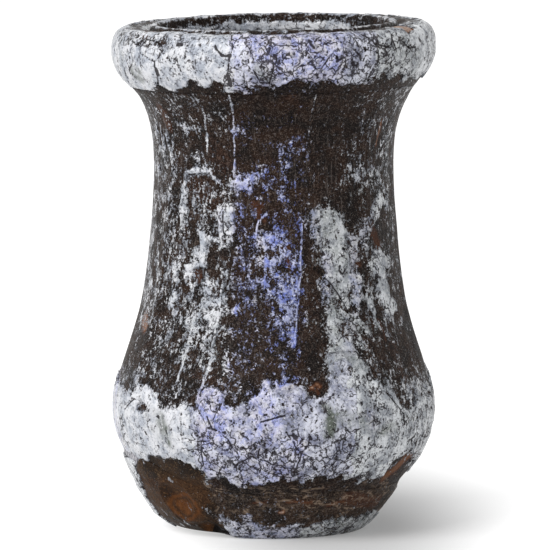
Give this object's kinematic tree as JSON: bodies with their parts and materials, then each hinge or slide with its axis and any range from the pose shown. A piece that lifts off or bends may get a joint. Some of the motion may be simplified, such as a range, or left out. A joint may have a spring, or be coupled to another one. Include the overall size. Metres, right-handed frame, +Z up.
{
  "type": "small glass jar",
  "caption": "Small waisted glass jar with a thick rolled rim, faceted neck, low round belly and an off-centre foot pad, under flaking weathering crust.",
  "frame": {"origin": "centre of the jar on the plane of its resting face", "axes": "+Z up, out of the mouth; the pictured side faces -Y; +X is to the right in the picture"},
  "size_m": [0.0509, 0.051, 0.0798],
  "materials": {
    "glass_wall": "dark brown weathered glass, almost opaque, dull sheen",
    "glass_rim": "dark brown weathered glass under the rim crust",
    "glass_foot": "amber brown weathered glass, pitted",
    "crust_white": "white to pale grey weathering crust, crazed, satin",
    "crust_violet": "violet-blue iridescent weathering crust, crazed",
    "crust_grey": "grey weathering crust, crazed"
  },
  "bodies": {
    "root": {"glass_wall": "glass_wall", "rim_roll": "glass_rim", "foot_pad": "glass_foot", "rim_crust_1": "crust_white", "rim_crust_2": "crust_white", "rim_crust_3": "crust_white", "rim_crust_4": "crust_violet", "rim_crust_5": "crust_violet", "rim_crust_6": "crust_grey", "rim_crust_7": "crust_grey", "rim_crust_8": "crust_grey", "rim_crust_9": "crust_white", "belly_crust_1": "crust_white", "belly_crust_2": "crust_white", "belly_crust_3": "crust_white", "belly_crust_4": "crust_violet", "belly_crust_5": "crust_violet", "belly_crust_6": "crust_grey", "belly_crust_7": "crust_grey", "belly_crust_8": "crust_grey", "belly_crust_9": "crust_white", "belly_crust_10": "crust_white", "foot_crust_1": "crust_grey", "foot_crust_2": "crust_grey", "foot_crust_3": "crust_violet", "foot_crust_4": "crust_grey", "foot_crust_5": "crust_grey", "foot_crust_6": "crust_grey", "foot_crust_7": "crust_grey", "mouth_crust_1": "crust_white", "mouth_crust_2": "crust_white", "neck_crust_left": "crust_white", "waist_crust_left": "crust_white", "waist_crust_arch": "crust_white", "waist_crust_shoulder": "crust_white", "waist_crust_blue": "crust_violet", "waist_crust_violet": "crust_violet", "waist_crust_streak": "crust_violet", "waist_crust_right": "crust_grey", "waist_crust_far_right": "crust_grey", "waist_crust_back_left": "crust_white", "waist_crust_back": "crust_white", "waist_crust_back_right": "crust_grey"}
  },
  "joints": []
}
